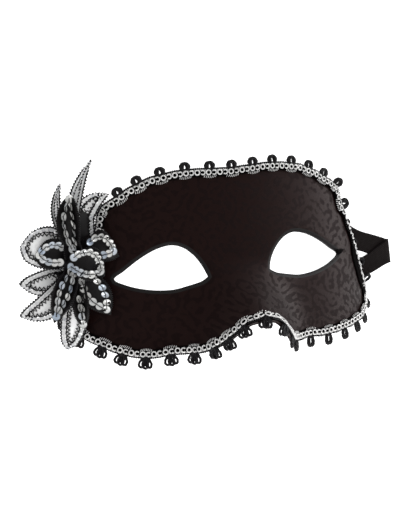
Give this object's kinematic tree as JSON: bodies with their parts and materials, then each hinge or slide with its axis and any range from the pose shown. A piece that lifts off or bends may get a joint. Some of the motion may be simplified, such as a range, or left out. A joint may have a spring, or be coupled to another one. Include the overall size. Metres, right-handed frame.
{
  "type": "venetian eye mask",
  "caption": "Half mask for the eyes in black brocade, edged with silver and black looped lace braid, with a sewn flower of sequined petals at one temple and a flat elastic strap.",
  "frame": {"origin": "on the table, at the middle of the mask and its flower seen from above, without the strap", "axes": "the mask lies face up; +X towards the viewer's right, +Y from the cheeks towards the forehead, +Z out of the face"},
  "size_m": [0.2045, 0.101, 0.0583],
  "materials": {
    "brocade": "black satin brocade with matt scrolls in the same black",
    "silver_braid": "silver metal thread rings on black thread",
    "elastic": "black woven elastic with fine ribs across",
    "silver_organza": "sheer silver white organza with black satin stitch",
    "black_organza": "black organza, slightly shiny, with rows of silver sequins"
  },
  "bodies": {
    "root": {"mask_shell": "brocade", "edge_braid": "silver_braid", "elastic_strap": "elastic", "outer_petal_left": "silver_organza", "outer_petal_lower_left": "silver_organza", "outer_petal_lower_left_long": "silver_organza", "outer_petal_lower": "silver_organza", "outer_petal_upper_narrow": "silver_organza", "outer_petal_upper_tall": "silver_organza", "outer_petal_upper_curling": "silver_organza", "inner_petal_left": "black_organza", "inner_petal_upper": "black_organza", "inner_petal_upper_right": "black_organza", "inner_petal_lower_right": "black_organza", "inner_petal_lower_small": "black_organza", "inner_petal_lower": "black_organza", "inner_petal_centre": "black_organza"}
  },
  "joints": []
}
